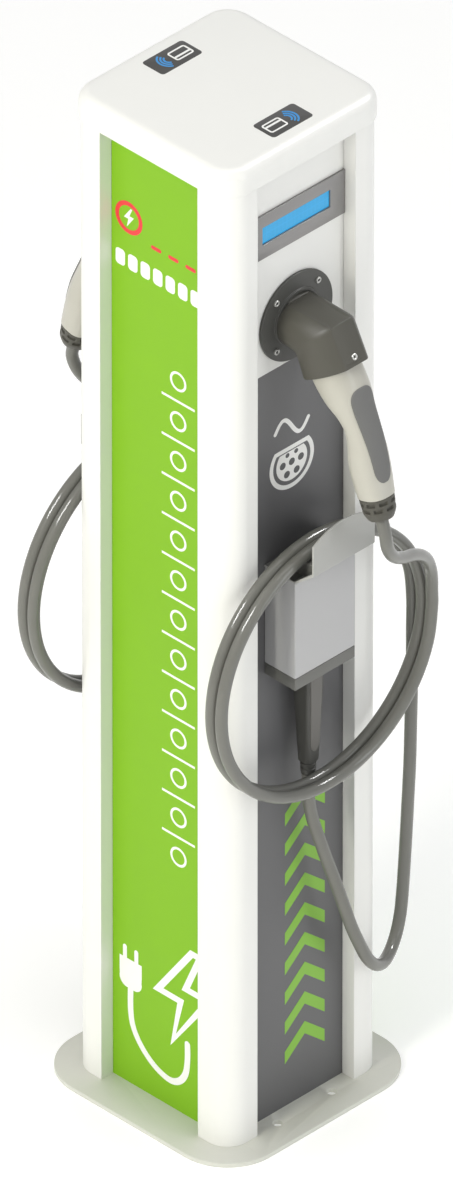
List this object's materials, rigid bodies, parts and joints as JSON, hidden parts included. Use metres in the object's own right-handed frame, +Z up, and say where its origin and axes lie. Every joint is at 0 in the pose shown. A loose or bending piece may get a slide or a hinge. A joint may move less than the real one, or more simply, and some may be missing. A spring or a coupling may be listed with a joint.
{
  "type": "ev charging post",
  "caption": "Square free-standing charging post with corner columns, slide-in panels, and a holstered connector with a looped cable at front and back.",
  "frame": {"origin": "bottom centre of the base plate, on the ground", "axes": "+Z up, the front connector on the -Y side, the plain green side panels at -X and +X"},
  "size_m": [0.306, 0.4564, 1.1852],
  "materials": {
    "white_coat": "satin white powder coat",
    "green_coat": "satin green printed film on sheet",
    "grey_coat": "satin dark grey powder coat",
    "pale_grey_coat": "light grey powder coat",
    "base_metal": "grey coated steel plate",
    "bezel_metal": "brushed grey metal",
    "screen": "back-lit blue display window",
    "label": "printed dark label",
    "black_plastic": "moulded black plastic",
    "dark_plastic": "moulded dark grey plastic, fine grain",
    "head_plastic": "moulded warm grey plastic, fine grain",
    "grip_plastic": "moulded off-white plastic",
    "pad_rubber": "soft overmoulded rubber",
    "cable_rubber": "smooth slightly glossy cable sheath",
    "box_plastic": "light grey moulded housing",
    "screw_metal": "bright zinc-plated steel",
    "frame_metal": "mill-finish aluminium",
    "gasket_rubber": "black foam rubber",
    "device_plastic": "light device housing",
    "toggle_plastic": "blue moulded lever"
  },
  "bodies": {
    "root": {"base_plate": "base_metal", "column_front_left": "white_coat", "column_front_right": "white_coat", "column_back_left": "white_coat", "column_back_right": "white_coat", "frame_screws": "screw_metal", "top_frame": "frame_metal", "lid_gasket": "gasket_rubber", "lid": "white_coat", "side_panel_left": "green_coat", "side_panel_right": "green_coat", "upper_panel_front": "white_coat", "upper_panel_back": "white_coat", "lower_panel_front": "grey_coat", "lower_panel_back": "grey_coat", "display_bezel_front": "bezel_metal", "display_bezel_back": "bezel_metal", "display_module_front": "screen", "display_module_back": "screen", "reader_label_front": "label", "reader_label_back": "label", "reader_boards": "black_plastic", "dock_front": "dark_plastic", "dock_back": "dark_plastic", "dock_screws": "screw_metal", "box_cover_front": "box_plastic", "box_cover_back": "box_plastic", "gland_plate_front": "head_plastic", "gland_plate_back": "head_plastic", "cable_hook_front": "pale_grey_coat", "cable_hook_back": "pale_grey_coat", "cable_boot_front": "dark_plastic", "cable_boot_back": "dark_plastic", "cable_drop_front": "cable_rubber", "cable_drop_back": "cable_rubber", "cable_coil_front": "cable_rubber", "cable_coil_back": "cable_rubber", "cable_tail_front": "cable_rubber", "cable_tail_back": "cable_rubber", "chassis_plate": "frame_metal", "din_rails": "screw_metal", "breaker_front": "device_plastic", "breaker_back": "device_plastic", "contactors": "device_plastic", "energy_meters": "device_plastic", "controllers": "black_plastic"},
    "connector_front": {"connector_head_front": "head_plastic", "contact_block_front": "black_plastic", "grip_front": "grip_plastic", "grip_pad_front": "pad_rubber", "cable_cap_front": "head_plastic", "head_screw_front": "screw_metal"},
    "connector_back": {"connector_head_back": "head_plastic", "contact_block_back": "black_plastic", "grip_back": "grip_plastic", "grip_pad_back": "pad_rubber", "cable_cap_back": "head_plastic", "head_screw_back": "screw_metal"},
    "switch_front": {"toggle_front": "toggle_plastic"},
    "switch_back": {"toggle_back": "toggle_plastic"}
  },
  "joints": [
    {"name": "connector_front_pull", "type": "slide", "parent": "root", "child": "connector_front", "axis": [0, -1, 0], "range_m": [0, 0.06], "deforming": ["cable_tail_front"]},
    {"name": "connector_back_pull", "type": "slide", "parent": "root", "child": "connector_back", "axis": [0, 1, 0], "range_m": [0, 0.06], "deforming": ["cable_tail_back"]},
    {"name": "breaker_switch_front", "type": "hinge", "parent": "root", "child": "switch_front", "pos_m": [0, -0.064, 0.66], "axis": [1, 0, 0], "range_deg": [0, 80]},
    {"name": "breaker_switch_back", "type": "hinge", "parent": "root", "child": "switch_back", "pos_m": [0, 0.064, 0.66], "axis": [-1, 0, 0], "range_deg": [0, 80]}
  ]
}
